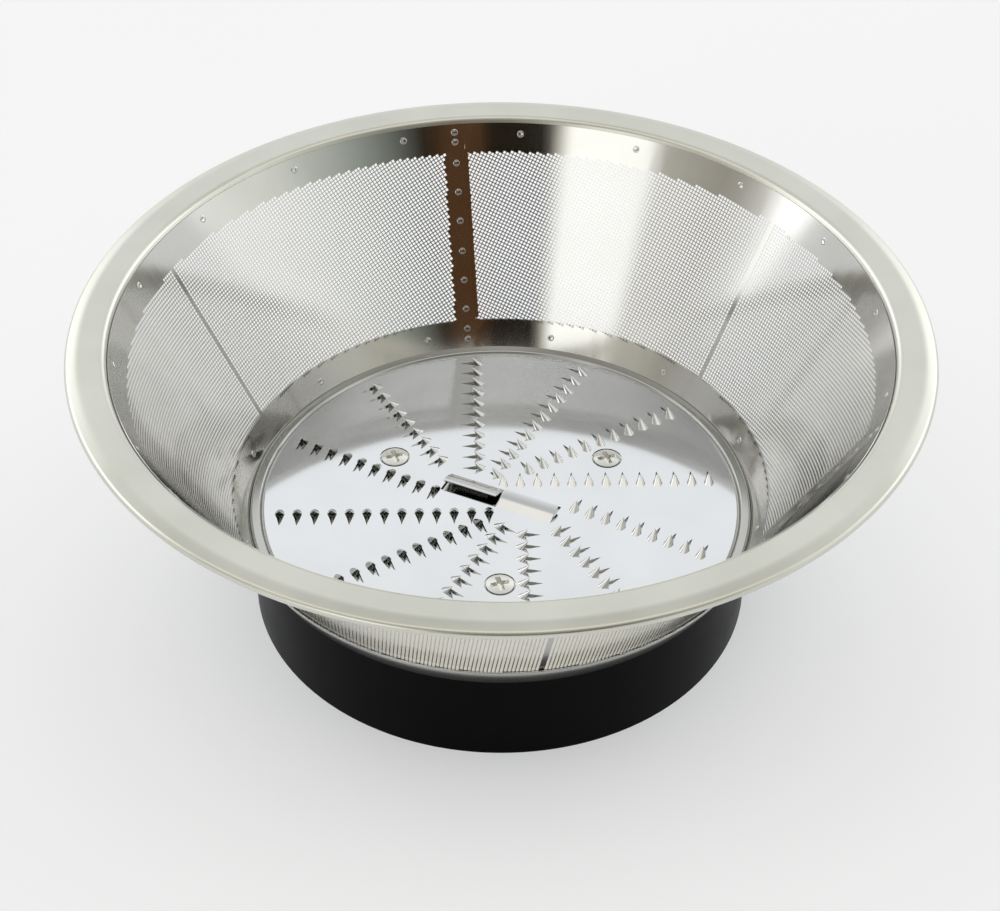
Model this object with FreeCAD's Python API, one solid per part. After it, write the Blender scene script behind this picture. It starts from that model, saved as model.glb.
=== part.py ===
import FreeCAD, Part
import math
import os

# Filter basket of a centrifugal juicer: a perforated cone between a rolled rim and a pressed pan,
# with a grater disc screwed through the pan to a moulded drive base.
# Millimetres and degrees, +Z up, origin at the centre of the base's foot.
# Azimuth 0 is +X and grows counter-clockwise seen from above.

# Overall sizes
RIM_DIAMETER = 180.0
TOTAL_HEIGHT = 70.2
BASE_SEAT_HEIGHT = 21.6

# Sheet thicknesses
RIM_SHEET = 0.5
MESH_SHEET = 0.25
PAN_SHEET = 0.4
DISC_SHEET = 0.5
SHEET_GAP = 0.05

# Rim, its width measured from the cone of the mesh's inner face
RIM_WIDTH = 8.3
RIM_LIP_HEIGHT = 1.9
RIM_ROLL_RADIUS = 1.1
RIM_INNER_ROUNDING = 1.4
RIM_SKIRT_HEIGHT = 5.6

# Mesh panels
MESH_BELOW_RIM_TOP = 1.1
PANEL_COUNT = 3
FIRST_SEAM_AZIMUTH = 98.2
LAP_ANGLE = 4.8
LAP_STEP_ANGLE = 0.7
SEAM_GAP_ANGLE = 0.06
FIELD_TOP_BELOW_RIM_TOP = 6.8
FIELD_BOTTOM_ABOVE_FOOT = 5.5
MIDDLE_BAR_ANGLE = 0.9
SLOTS_PER_HALF = 12
SLOT_SHARE = 0.58

# Pan
PAN_HOLE_DIAMETER = 6.0
BEAD_RISE = 0.65
BEAD_WIDTH = 2.45
BEAD_RAMP_WIDTH = 0.6
BEAD_BEVEL = 0.35
COLLAR_HEIGHT = 6.0
COLLAR_BEVEL = 0.4

# Grater disc
DISC_DIAMETER = 105.2
DISC_EDGE_BEVEL = 0.4
DISC_SIDE_CLEARANCE = 0.15

# Teeth of the disc, in straight rows beside twelve radial lines
ROW_TEETH = [13, 10, 9, 11, 12, 11, 13, 9, 9, 10, 11, 11]
FIRST_ROW_AZIMUTH = 181.5
ROW_OFFSET = 4.7
ROW_EDGE_MARGIN = 4.0
ROW_INNER_REACH = 2.64
TOOTH_WIDTH = 2.0
TOOTH_HEIGHT = 1.55
TOOTH_LENGTH = 1.7
TOOTH_LEAN = 0.7
TOOTH_WALL = 0.35
NOTCH_LENGTH = 3.8

# Two lanced blades in the middle of the disc
BLADE_AZIMUTH = 155.0
BLADE_START = 0.5
BLADE_LENGTH = 12.8
BLADE_HINGE_OFFSET = -2.0
BLADE_BEND_OFFSET = 0.1
BLADE_LIP_OFFSET = 1.55
BLADE_BEND_HEIGHT = 1.05
BLADE_LIP_HEIGHT = 1.5
BLADE_SLOT_REACH = 3.0
BLADE_END_GAP = 0.15

# Screws
SCREW_COUNT = 3
FIRST_SCREW_AZIMUTH = 30.0
SCREW_CIRCLE_RADIUS = 27.7
SCREW_HEAD_DIAMETER = 6.6
SCREW_HEAD_SINK = 0.1
SCREW_HEAD_RISE = 0.55
SCREW_HEAD_BEVEL = 0.9
SCREW_SHANK_DIAMETER = 3.5
SCREW_LENGTH = 12.0
SCREW_CLEARANCE = 0.08
RECESS_LENGTH = 4.0
RECESS_WIDTH = 1.0
RECESS_DEPTH = 1.3

# Drive base
BASE_TAPER = 0.3
BASE_SKIRT_WALL = 2.4
BASE_PLATE = 3.0
HUB_DIAMETER = 30.0
HUB_LIFT = 1.5
SOCKET_DIAMETER = 22.0
SOCKET_DEPTH = 14.0
SOCKET_KEYS = 3
KEY_WIDTH = 4.0
KEY_DEPTH = 2.0
RIB_COUNT = 6
FIRST_RIB_AZIMUTH = 30.0
RIB_WIDTH = 2.0
RIB_LIFT = 4.0
BOSS_DIAMETER = 8.5
BOSS_FLOOR = 2.0

# Length by which a cutting tool runs past the metal it cuts, and the distance of two equal points
OVERRUN = 2.0
SAME_POINT = 1e-6

# Worked-out heights
FLOOR_TOP = BASE_SEAT_HEIGHT + PAN_SHEET
DISC_TOP = FLOOR_TOP + DISC_SHEET
BEAD_TOP = FLOOR_TOP + BEAD_RISE
MESH_FOOT_Z = FLOOR_TOP + SHEET_GAP
MESH_TOP_Z = TOTAL_HEIGHT - MESH_BELOW_RIM_TOP
FIELD_TOP_Z = TOTAL_HEIGHT - FIELD_TOP_BELOW_RIM_TOP
FIELD_BOTTOM_Z = MESH_FOOT_Z + FIELD_BOTTOM_ABOVE_FOOT
SKIRT_BOTTOM_Z = TOTAL_HEIGHT - RIM_SKIRT_HEIGHT
COLLAR_TOP_Z = FLOOR_TOP + COLLAR_HEIGHT
SCREW_SEAT_Z = DISC_TOP - SCREW_HEAD_SINK

# Worked-out radii and angles
DISC_RADIUS = DISC_DIAMETER / 2
BEAD_FOOT_RADIUS = DISC_RADIUS + DISC_SIDE_CLEARANCE
BEAD_OUTER_RADIUS = BEAD_FOOT_RADIUS + BEAD_WIDTH
CONE_FOOT_RADIUS = BEAD_OUTER_RADIUS + SHEET_GAP
CONE_TOP_RADIUS = RIM_DIAMETER / 2 - RIM_WIDTH
CONE_SLOPE = (CONE_TOP_RADIUS - CONE_FOOT_RADIUS) / (TOTAL_HEIGHT - MESH_FOOT_Z)
ACROSS_CONE = math.hypot(1.0, CONE_SLOPE)
COLLAR_INNER_OFFSET = MESH_SHEET + SHEET_GAP
COLLAR_OUTER_OFFSET = COLLAR_INNER_OFFSET + PAN_SHEET
HEAD_RADIUS = SCREW_HEAD_DIAMETER / 2
SHANK_RADIUS = SCREW_SHANK_DIAMETER / 2
PANEL_ANGLE = 360.0 / PANEL_COUNT
ROW_OUTER_REACH = DISC_RADIUS - ROW_EDGE_MARGIN
TOOTH_PITCH = (ROW_OUTER_REACH - ROW_INNER_REACH) / (max(ROW_TEETH) - 1)

UP = FreeCAD.Vector(0, 0, 1)
ORIGIN = FreeCAD.Vector(0, 0, 0)


def cone_radius(z, offset=0.0):
    """Radius at height z of the mesh's inner face, moved outwards by offset across the sheet."""
    return CONE_FOOT_RADIUS + (z - MESH_FOOT_Z) * CONE_SLOPE + offset * ACROSS_CONE


def turn(shape, azimuth):
    """A copy of shape turned about the axis."""
    turned = shape.copy()
    turned.rotate(ORIGIN, UP, azimuth)
    return turned


def section(corners):
    """Face in the XZ plane through (radius, height) corners, with an optional rounding as third value."""
    points = [FreeCAD.Vector(corner[0], 0, corner[1]) for corner in corners]
    roundings = [corner[2] if len(corner) > 2 else 0.0 for corner in corners]
    arcs = []
    for i, (here, rounding) in enumerate(zip(points, roundings)):
        back = (points[i - 1] - here).normalize()
        ahead = (points[(i + 1) % len(points)] - here).normalize()
        if not rounding:
            arcs.append((here, None, here))
            continue
        half = back.getAngle(ahead) / 2
        reach = rounding / math.tan(half)
        inwards = (back + ahead).normalize()
        middle = here + inwards * (rounding / math.sin(half) - rounding)
        arcs.append((here + back * reach, middle, here + ahead * reach))
    edges = []
    for i, (start, middle, end) in enumerate(arcs):
        if middle is not None:
            edges.append(Part.Arc(start, middle, end).toShape())
        following = arcs[(i + 1) % len(arcs)][0]
        if not end.isEqual(following, SAME_POINT):
            edges.append(Part.LineSegment(end, following).toShape())
    return Part.Face(Part.Wire(edges))


def turned_body(corners, angle=360.0, start=0.0):
    """Solid of revolution of a section, from azimuth start over angle."""
    return turn(section(corners).revolve(ORIGIN, UP, angle), start)


def polyhedron(points, faces):
    """Solid with flat faces, each a list of point numbers."""
    made = []
    for face in faces:
        loop = [points[i] for i in face]
        made.append(Part.Face(Part.makePolygon(loop + loop[:1])))
    solid = Part.Solid(Part.Shell(made))
    if solid.Volume < 0:
        solid.reverse()
    return solid


def prism(outline, bottom, top):
    """Upright prism over a list of (x, y) corners."""
    loop = [FreeCAD.Vector(x, y, bottom) for x, y in outline]
    return Part.Face(Part.makePolygon(loop + loop[:1])).extrude(UP * (top - bottom))


def conical_band(inner, outer, bottom, top):
    """Corners of a band along the cone, between two offsets from its inner face."""
    return [
        (cone_radius(bottom, inner), bottom),
        (cone_radius(bottom, outer), bottom),
        (cone_radius(top, outer), top),
        (cone_radius(top, inner), top),
    ]


def rim_ring():
    """Hoop with a flat top, a lip rolled down outside and a conical skirt outside the mesh."""
    outer = RIM_DIAMETER / 2
    inner_offset = MESH_SHEET + SHEET_GAP
    outer_offset = inner_offset + RIM_SHEET
    under = TOTAL_HEIGHT - RIM_SHEET
    lip_bottom = TOTAL_HEIGHT - RIM_LIP_HEIGHT
    return turned_body([
        (cone_radius(SKIRT_BOTTOM_Z, inner_offset), SKIRT_BOTTOM_Z),
        (cone_radius(SKIRT_BOTTOM_Z, outer_offset), SKIRT_BOTTOM_Z),
        (cone_radius(under, outer_offset), under),
        (outer - RIM_SHEET, under),
        (outer - RIM_SHEET, lip_bottom),
        (outer, lip_bottom),
        (outer, TOTAL_HEIGHT, RIM_ROLL_RADIUS),
        (cone_radius(TOTAL_HEIGHT, inner_offset), TOTAL_HEIGHT, RIM_INNER_ROUNDING),
    ])


def field_slots():
    """Cutters for the openings of one panel, in two halves beside its middle bar."""
    half_angle = (PANEL_ANGLE - LAP_ANGLE - MIDDLE_BAR_ANGLE) / 2
    pitch = half_angle / SLOTS_PER_HALF
    slot_angle = pitch * SLOT_SHARE
    tool = conical_band(-OVERRUN, MESH_SHEET + OVERRUN, FIELD_BOTTOM_Z, FIELD_TOP_Z)
    slot = turned_body(tool, slot_angle, (pitch - slot_angle) / 2)
    halves = (LAP_ANGLE / 2, (PANEL_ANGLE + MIDDLE_BAR_ANGLE) / 2)
    return [turn(slot, start + i * pitch) for start in halves for i in range(SLOTS_PER_HALF)]


def mesh_panel():
    """One conical panel from azimuth 0, its far end stepped out to lie behind the next panel."""
    start = -LAP_ANGLE / 2
    body_angle = PANEL_ANGLE - SEAM_GAP_ANGLE
    body = turned_body(conical_band(0, MESH_SHEET, MESH_FOOT_Z, MESH_TOP_Z), body_angle, start)
    tongue_in = MESH_SHEET + SHEET_GAP
    tongue_out = tongue_in + MESH_SHEET
    tongue_bottom = COLLAR_TOP_Z + SHEET_GAP
    tongue_top = SKIRT_BOTTOM_Z - SHEET_GAP
    step_start = start + body_angle - LAP_STEP_ANGLE
    step = turned_body(
        conical_band(0, tongue_out, tongue_bottom, tongue_top), LAP_STEP_ANGLE, step_start)
    tongue = turned_body(
        conical_band(tongue_in, tongue_out, tongue_bottom, tongue_top),
        LAP_STEP_ANGLE + LAP_ANGLE, step_start)
    return body.cut(field_slots()).fuse([step, tongue]).removeSplitter()


def countersunk_body(grow, top, top_bevel):
    """Countersunk form of a screw on the axis, grown by a clearance and carried on to a top height."""
    head = HEAD_RADIUS + grow
    shank = SHANK_RADIUS + grow
    tip = SCREW_SEAT_Z - SCREW_LENGTH - grow
    return turned_body([
        (0, tip),
        (shank, tip),
        (shank, SCREW_SEAT_Z - (HEAD_RADIUS - SHANK_RADIUS)),
        (head, SCREW_SEAT_Z),
        (head - top_bevel, top),
        (0, top),
    ])


def screw_hole():
    """Cutter for a screw's hole through disc, pan and base."""
    return countersunk_body(SCREW_CLEARANCE, DISC_TOP + OVERRUN, 0)


def screw_places():
    """Positions of the screws on their circle."""
    places = []
    for i in range(SCREW_COUNT):
        angle = math.radians(FIRST_SCREW_AZIMUTH + i * 360.0 / SCREW_COUNT)
        places.append(FreeCAD.Vector(math.cos(angle), math.sin(angle), 0) * SCREW_CIRCLE_RADIUS)
    return places


def at_screws(shape):
    """Copies of shape at every screw."""
    copies = []
    for place in screw_places():
        copy = shape.copy()
        copy.translate(place)
        copies.append(copy)
    return copies


def screw():
    """One screw on the axis, with a raised head and a cross recess."""
    head_top = SCREW_SEAT_Z + SCREW_HEAD_RISE
    body = countersunk_body(0, head_top, SCREW_HEAD_BEVEL)
    x, y = RECESS_LENGTH / 2, RECESS_WIDTH / 2
    slot = prism([(-x, -y), (x, -y), (x, y), (-x, y)], head_top - RECESS_DEPTH, head_top + OVERRUN)
    return body.cut([slot, turn(slot, 90)]).removeSplitter()


def pan_underside_radius():
    """Radius of the flat underside of the pan, where the drive base ends."""
    return cone_radius(BASE_SEAT_HEIGHT, COLLAR_OUTER_OFFSET) - COLLAR_BEVEL


def base_pan():
    """Pressed pan: floor under the disc, bead round it, and a collar outside the foot of the mesh."""
    collar_start = BASE_SEAT_HEIGHT + COLLAR_BEVEL
    pan = turned_body([
        (PAN_HOLE_DIAMETER / 2, BASE_SEAT_HEIGHT),
        (pan_underside_radius(), BASE_SEAT_HEIGHT),
        (cone_radius(collar_start, COLLAR_OUTER_OFFSET), collar_start),
        (cone_radius(COLLAR_TOP_Z, COLLAR_OUTER_OFFSET), COLLAR_TOP_Z),
        (cone_radius(COLLAR_TOP_Z, COLLAR_INNER_OFFSET), COLLAR_TOP_Z),
        (cone_radius(FLOOR_TOP, COLLAR_INNER_OFFSET), FLOOR_TOP),
        (BEAD_OUTER_RADIUS, FLOOR_TOP),
        (BEAD_OUTER_RADIUS, BEAD_TOP - BEAD_BEVEL),
        (BEAD_OUTER_RADIUS - BEAD_BEVEL, BEAD_TOP),
        (BEAD_FOOT_RADIUS + BEAD_RAMP_WIDTH, BEAD_TOP),
        (BEAD_FOOT_RADIUS, FLOOR_TOP),
        (PAN_HOLE_DIAMETER / 2, FLOOR_TOP),
    ])
    return pan.cut(at_screws(screw_hole()))


def hood_points(back, half_width, tip, height, floor):
    """Corners of a pointed hood with its mouth at x 0, its sides carried on down to a floor."""
    top = FreeCAD.Vector(tip, 0, height)
    stretch = (height - floor) / height
    feet = [(-back, 0), (0, -half_width), (0, half_width)]
    return [top + (FreeCAD.Vector(x, y, 0) - top) * stretch for x, y in feet] + [top]


HOOD_FACES = [(0, 1, 2), (0, 1, 3), (0, 2, 3), (1, 2, 3)]


def tooth_hood():
    """Outer form of one tooth: it points along +X, with the disc's top face at height 0."""
    return polyhedron(
        hood_points(TOOTH_LENGTH, TOOTH_WIDTH / 2, TOOTH_LEAN, TOOTH_HEIGHT, -DISC_SHEET / 2), HOOD_FACES)


def tooth_opening():
    """Hollow of one tooth and the pointed notch in front of its mouth."""
    back = TOOTH_LENGTH - 2 * TOOTH_WALL
    half = TOOTH_WIDTH / 2 - TOOTH_WALL
    hollow_top = TOOTH_HEIGHT - 2 * TOOTH_WALL
    inner = hood_points(back, half, TOOTH_LEAN, hollow_top, 0)
    root = inner[0]
    mouth = [root + (point - root) * 2 for point in inner[1:]]
    hollow = polyhedron([root] + mouth, HOOD_FACES)
    kite = [(-back, 0), (0, -half), (NOTCH_LENGTH, 0), (0, half)]
    return hollow, prism(kite, -DISC_SHEET - OVERRUN, 0)


def tooth_placements():
    """Placement of every tooth, row by row from the outside in."""
    placements = []
    rows = len(ROW_TEETH)
    for row, count in enumerate(ROW_TEETH):
        azimuth = FIRST_ROW_AZIMUTH - row * 360.0 / rows
        outward = FreeCAD.Vector(math.cos(math.radians(azimuth)), math.sin(math.radians(azimuth)), 0)
        forward = UP.cross(outward)
        outermost = ROW_OUTER_REACH - (TOOTH_PITCH / 2 if row >= rows / 2 else 0)
        for i in range(count):
            place = outward * (outermost - i * TOOTH_PITCH) + forward * ROW_OFFSET + UP * DISC_TOP
            placements.append(FreeCAD.Placement(place, FreeCAD.Rotation(UP, azimuth + 90)))
    return placements


def blade_parts():
    """One lanced blade on azimuth 0 and the slot that it was bent out of."""
    def along_blade(profile, start, length):
        loop = [FreeCAD.Vector(start, y, DISC_TOP + z) for y, z in profile]
        return Part.Face(Part.makePolygon(loop + loop[:1])).extrude(FreeCAD.Vector(length, 0, 0))

    tab = along_blade([
        (BLADE_HINGE_OFFSET, 0),
        (BLADE_BEND_OFFSET, BLADE_BEND_HEIGHT),
        (BLADE_LIP_OFFSET, BLADE_LIP_HEIGHT),
        (BLADE_LIP_OFFSET, BLADE_LIP_HEIGHT - DISC_SHEET),
        (BLADE_BEND_OFFSET, BLADE_BEND_HEIGHT - DISC_SHEET),
        (BLADE_HINGE_OFFSET, -DISC_SHEET),
    ], BLADE_START, BLADE_LENGTH)
    slot = along_blade([
        (BLADE_HINGE_OFFSET, OVERRUN),
        (BLADE_SLOT_REACH, OVERRUN),
        (BLADE_SLOT_REACH, -DISC_SHEET - OVERRUN),
        (BLADE_HINGE_OFFSET, -DISC_SHEET - OVERRUN),
    ], BLADE_START - BLADE_END_GAP, BLADE_LENGTH + 2 * BLADE_END_GAP)
    return tab, slot


def cutting_disc():
    """Grater disc with eased edge, rows of punched teeth, middle blades and countersunk holes."""
    disc = turned_body([
        (0, FLOOR_TOP),
        (DISC_RADIUS, FLOOR_TOP),
        (DISC_RADIUS, DISC_TOP - DISC_EDGE_BEVEL),
        (DISC_RADIUS - DISC_EDGE_BEVEL, DISC_TOP),
        (0, DISC_TOP),
    ])
    tab, slot = blade_parts()
    sides = (BLADE_AZIMUTH, BLADE_AZIMUTH + 180)
    disc = disc.cut([turn(slot, side) for side in sides] + at_screws(screw_hole()))
    hood = tooth_hood()
    hollow, notch = tooth_opening()
    hoods = []
    openings = []
    for placement in tooth_placements():
        for tool, group in ((hood, hoods), (hollow, openings), (notch, openings)):
            copy = tool.copy()
            copy.Placement = placement
            group.append(copy)
    disc = disc.fuse(hoods + [turn(tab, side) for side in sides])
    return disc.cut(openings).removeSplitter()


def drive_base():
    """Moulded base: skirt and plate in one turned form, hub with keyed socket, ribs and screw bosses."""
    top = pan_underside_radius()
    foot = top - BASE_TAPER
    plate_under = BASE_SEAT_HEIGHT - BASE_PLATE
    socket_top = HUB_LIFT + SOCKET_DEPTH
    hub = HUB_DIAMETER / 2
    socket = SOCKET_DIAMETER / 2
    shell = turned_body([
        (0, socket_top),
        (socket, socket_top),
        (socket, HUB_LIFT),
        (hub, HUB_LIFT),
        (hub, plate_under),
        (top - BASE_SKIRT_WALL, plate_under),
        (foot - BASE_SKIRT_WALL, 0),
        (foot, 0),
        (top, BASE_SEAT_HEIGHT),
        (0, BASE_SEAT_HEIGHT),
    ])
    rib_end = foot - BASE_SKIRT_WALL / 2
    half_rib = RIB_WIDTH / 2
    rib_start = (hub + socket) / 2
    rib_line = [(rib_start, -half_rib), (rib_end, -half_rib), (rib_end, half_rib), (rib_start, half_rib)]
    rib = prism(rib_line, RIB_LIFT, plate_under + BASE_PLATE / 2)
    ribs = [turn(rib, FIRST_RIB_AZIMUTH + i * 360.0 / RIB_COUNT) for i in range(RIB_COUNT)]
    boss_bottom = SCREW_SEAT_Z - SCREW_LENGTH - BOSS_FLOOR
    boss = Part.makeCylinder(
        BOSS_DIAMETER / 2, plate_under + BASE_PLATE / 2 - boss_bottom, FreeCAD.Vector(0, 0, boss_bottom))
    half_key = KEY_WIDTH / 2
    key_end = socket + KEY_DEPTH
    key_line = [(0, -half_key), (key_end, -half_key), (key_end, half_key), (0, half_key)]
    key = prism(key_line, HUB_LIFT - OVERRUN, socket_top)
    keys = [turn(key, FIRST_RIB_AZIMUTH + (i + 0.5) * 360.0 / SOCKET_KEYS) for i in range(SOCKET_KEYS)]
    body = shell.fuse(ribs + at_screws(boss))
    return body.cut(keys + at_screws(screw_hole())).removeSplitter()


def build():
    """Every node of the basket by name."""
    panel = mesh_panel()
    names = ("mesh_panel_left", "mesh_panel_front", "mesh_panel_right")
    nodes = {
        "rim_ring": rim_ring(),
        "base_pan": base_pan(),
        "cutting_disc": cutting_disc(),
        "disc_screws": Part.makeCompound(at_screws(screw())),
        "drive_base": drive_base(),
    }
    for i, name in enumerate(names):
        nodes[name] = turn(panel, FIRST_SEAM_AZIMUTH + i * PANEL_ANGLE)
    return nodes


os.makedirs("parts", exist_ok=True)
for node_name, node_shape in build().items():
    node_shape.exportStep(os.path.join("parts", node_name + ".step"))
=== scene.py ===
import math

import bmesh
import bpy
import numpy as np
from mathutils import Matrix, Vector
from mathutils.geometry import delaunay_2d_cdt


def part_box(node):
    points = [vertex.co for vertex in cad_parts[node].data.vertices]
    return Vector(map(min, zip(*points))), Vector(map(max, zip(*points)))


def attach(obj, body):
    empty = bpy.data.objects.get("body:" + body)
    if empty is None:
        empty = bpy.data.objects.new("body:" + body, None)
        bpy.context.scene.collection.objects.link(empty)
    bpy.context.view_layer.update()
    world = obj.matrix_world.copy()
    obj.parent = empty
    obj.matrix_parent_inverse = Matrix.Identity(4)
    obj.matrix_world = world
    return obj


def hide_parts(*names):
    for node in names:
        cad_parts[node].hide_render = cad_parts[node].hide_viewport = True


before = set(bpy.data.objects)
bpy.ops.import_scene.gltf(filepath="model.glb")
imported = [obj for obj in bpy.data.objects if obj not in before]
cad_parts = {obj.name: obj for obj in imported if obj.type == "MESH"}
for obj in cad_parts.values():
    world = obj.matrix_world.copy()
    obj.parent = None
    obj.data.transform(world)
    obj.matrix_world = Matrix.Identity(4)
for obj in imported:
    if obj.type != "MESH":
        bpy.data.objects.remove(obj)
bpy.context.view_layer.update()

MM = 0.001
FLAT_NORMAL = 0.99999
MERGE_DISTANCE = 1e-7
ROUND_SEGMENTS = 288
RIM_SEGMENTS = 360
HOLE_SEGMENTS = 64

# Sizes in millimetres: outer ones from the frame, the rest as in the part's source but for the etched sheet
RIM_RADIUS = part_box("rim_ring")[1][0] / MM
RIM_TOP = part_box("rim_ring")[1][2] / MM
SKIRT_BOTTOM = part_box("rim_ring")[0][2] / MM
MESH_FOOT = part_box("mesh_panel_left")[0][2] / MM
MESH_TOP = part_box("mesh_panel_left")[1][2] / MM
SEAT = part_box("base_pan")[0][2] / MM
COLLAR_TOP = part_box("base_pan")[1][2] / MM
FLOOR_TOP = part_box("cutting_disc")[0][2] / MM
RIM_SHEET = 0.5
MESH_SHEET = 0.25
ETCHED_SHEET = 0.16
PAN_SHEET = 0.4
DISC_SHEET = 0.5
SHEET_GAP = 0.05
DISC_RADIUS = 52.6
DISC_TOP = FLOOR_TOP + DISC_SHEET
DISC_EDGE = 0.4
DISC_EDGE_STEPS = 5
CUT_EDGE = 0.12
PAN_HOLE_RADIUS = 3.0
PAN_SCREW_HOLE = 2.75

# Rolled rim: drops and widths of its outline and the roundings of its corners
RIM_LIP_DROP = 1.9
RIM_ROLL_DROP = 0.7
RIM_ROLL_WIDTH = 2.6
RIM_SKIRT_ROUNDING = 0.9
RIM_LIP_ROUNDING = 0.6
RIM_ROLL_ROUNDING = 1.15
RIM_TOP_ROUNDING = 5.0
RIM_MOUTH_ROUNDING = 1.4
RIM_ROUNDING_STEPS = 8

# Bead and collar of the pan
PAN_FLAT_INSET = 1.0
BEAD_HEIGHT = 0.65
BEAD_FOOT = 0.15
BEAD_SHOULDER = 0.6
BEAD_FOOT_ROUNDING = 0.15
BEAD_INNER_ROUNDING = 0.35
BEAD_OUTER_ROUNDING = 0.4
COLLAR_ROUNDING = 1.0

# Cone of the mesh's inner face
CONE_FOOT_RADIUS = 55.25
CONE_TOP_RADIUS = 81.7
CONE_SLOPE = (CONE_TOP_RADIUS - CONE_FOOT_RADIUS) / (RIM_TOP - MESH_FOOT)
CONE_COS = 1.0 / math.hypot(1.0, CONE_SLOPE)
CONE_SIN = CONE_SLOPE * CONE_COS
APEX_Z = MESH_FOOT - CONE_FOOT_RADIUS / CONE_SLOPE

# Mesh panels: a square lattice of holes, laid out flat on each panel's blank
PANELS = {"mesh_panel_left": 158.2, "mesh_panel_front": 278.2, "mesh_panel_right": 38.2}
PANEL_HALF_ANGLE = 60.0
HOLE_PITCH = 0.795
HOLE_SIDE = 0.6
FIELD_BOTTOM = 27.6
FIELD_TOP = 63.5
MIDDLE_LINE = 1.2
LAP_HALF_WIDTH = 2.2
LAP_STEP = 0.7
LAP_SPAN = (0.14, 0.89)
LAP_ROWS = 40
PANEL_FOOT_STEPS = 130
PANEL_TOP_STEPS = 180
PANEL_END_STEPS = 60

# Spot welds along the seams, and on the plain margins in rings of a height, a count and a first azimuth
WELD_RADIUS = 0.85
WELD_HEIGHT = 0.09
WELD_PROFILE = ((1.0, -0.3), (0.85, 0.7), (0.7, 1.0), (0.5, 0.6), (0.25, 0.15))
WELD_MIDDLE = 0.1
WELD_SEGMENTS = 16
UPPER_WELDS = (66.8, 18, 7.0)
LOWER_WELDS = (24.9, 12, 18.0)
SEAM_WELD_HEIGHTS = (67.4, 65.4, 61.1, 55.1, 49.1, 42.8, 36.7, 30.6, 26.4, 24.2)

# Teeth of the disc
ROW_TEETH = (13, 10, 9, 11, 12, 11, 13, 9, 9, 10, 11, 11)
FIRST_ROW_AZIMUTH = 181.5
ROW_OFFSET = 4.7
ROW_OUTER_REACH = 48.6
TOOTH_PITCH = 3.83
TOOTH_WIDTH = 2.15
TOOTH_HEIGHT = 1.85
TOOTH_LENGTH = 1.7
TOOTH_LEAN = 1.0
TOOTH_WALL = 0.25
NOTCH_LENGTH = 3.8
SHORT_NOTCH_LENGTH = 1.6
SHORT_NOTCH_TEETH = ((4, 11), (6, 12))
HOOD_ROWS = (0.04, 0.14, 0.3, 0.5, 0.75, 1.0)
HOOD_COLUMNS = 14
HOOD_SIDE_CURVE = 0.9
HOOD_BACK_CURVE = 1.2
HOOD_TRIM = 1.5

# Middle blades
BLADE_AZIMUTH = 155.0
BLADE_START = 0.5
BLADE_LENGTH = 12.8
BLADE_HINGE = -2.8
BLADE_CURVE = ((BLADE_HINGE, 0.0), (-1.2, 1.0), (-0.4, 1.6), (1.55, 1.6))
BLADE_SLOT_REACH = 3.0
BLADE_END_GAP = 0.05
BLADE_STEPS = 10

# Screws
SCREW_CIRCLE = 27.7
SCREW_AZIMUTHS = (30.0, 150.0, 270.0)
SCREW_HEAD_RADIUS = 2.95
SCREW_SHANK_RADIUS = 1.75
SCREW_LENGTH = 12.0
SCREW_SINK = 0.1
SCREW_EDGE = 0.2
SCREW_DOME = 0.55
SCREW_TURN = 0.3
SCREW_HOLE_RADIUS = 3.4
SCREW_HOLE_WALL = 0.35
SCREW_HOLE_TAPER = 0.3
RECESS_LENGTH = 4.2
RECESS_WIDTH = 1.15
RECESS_DEPTH = 1.2
RECESS_TAPER = 0.5
SCREW_SEAT = DISC_TOP - SCREW_SINK
SCREW_END = SCREW_SEAT - SCREW_LENGTH
RECESS_FLOOR = SCREW_SEAT + SCREW_DOME - RECESS_DEPTH
HEAD_ROWS = (0.0, 0.12, 0.4, 0.7, 0.9, 1.0)
RECESS_SPREAD = (0.1, 0.25, 0.5, 0.75)

# Grain of the surfaces: scales of the noise, and bumps in metres
NOISE_SPAN = (0.25, 0.75)
NOISE_STOPS = (0.3, 0.7)
STEEL_CLOUD_SCALE = 60.0
STEEL_BUMP = 0.00002
PLASTIC_GRAIN_SCALE = 2600.0
PLASTIC_CLOUD_SCALE = 45.0
PLASTIC_BUMP = 0.00003
PLASTIC_BUMP_STRENGTH = 0.25
PLASTIC_SPECULAR = 0.04
PLASTIC_ROUGHNESS = (0.30, 0.40)
PLASTIC_COLOURS = ((0.0008, 0.0009, 0.0010), (0.0016, 0.0018, 0.0019))

# Camera that took the photograph, fitted to the rim, the disc and the base
CAMERA_PLACE = (0.0, -0.36676, 0.34559)
CAMERA_TURN = (49.726, -0.263, 0.250)
CAMERA_LENS = 79.395
CAMERA_SENSOR = 36.0
CAMERA_NEAR = 0.01

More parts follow.
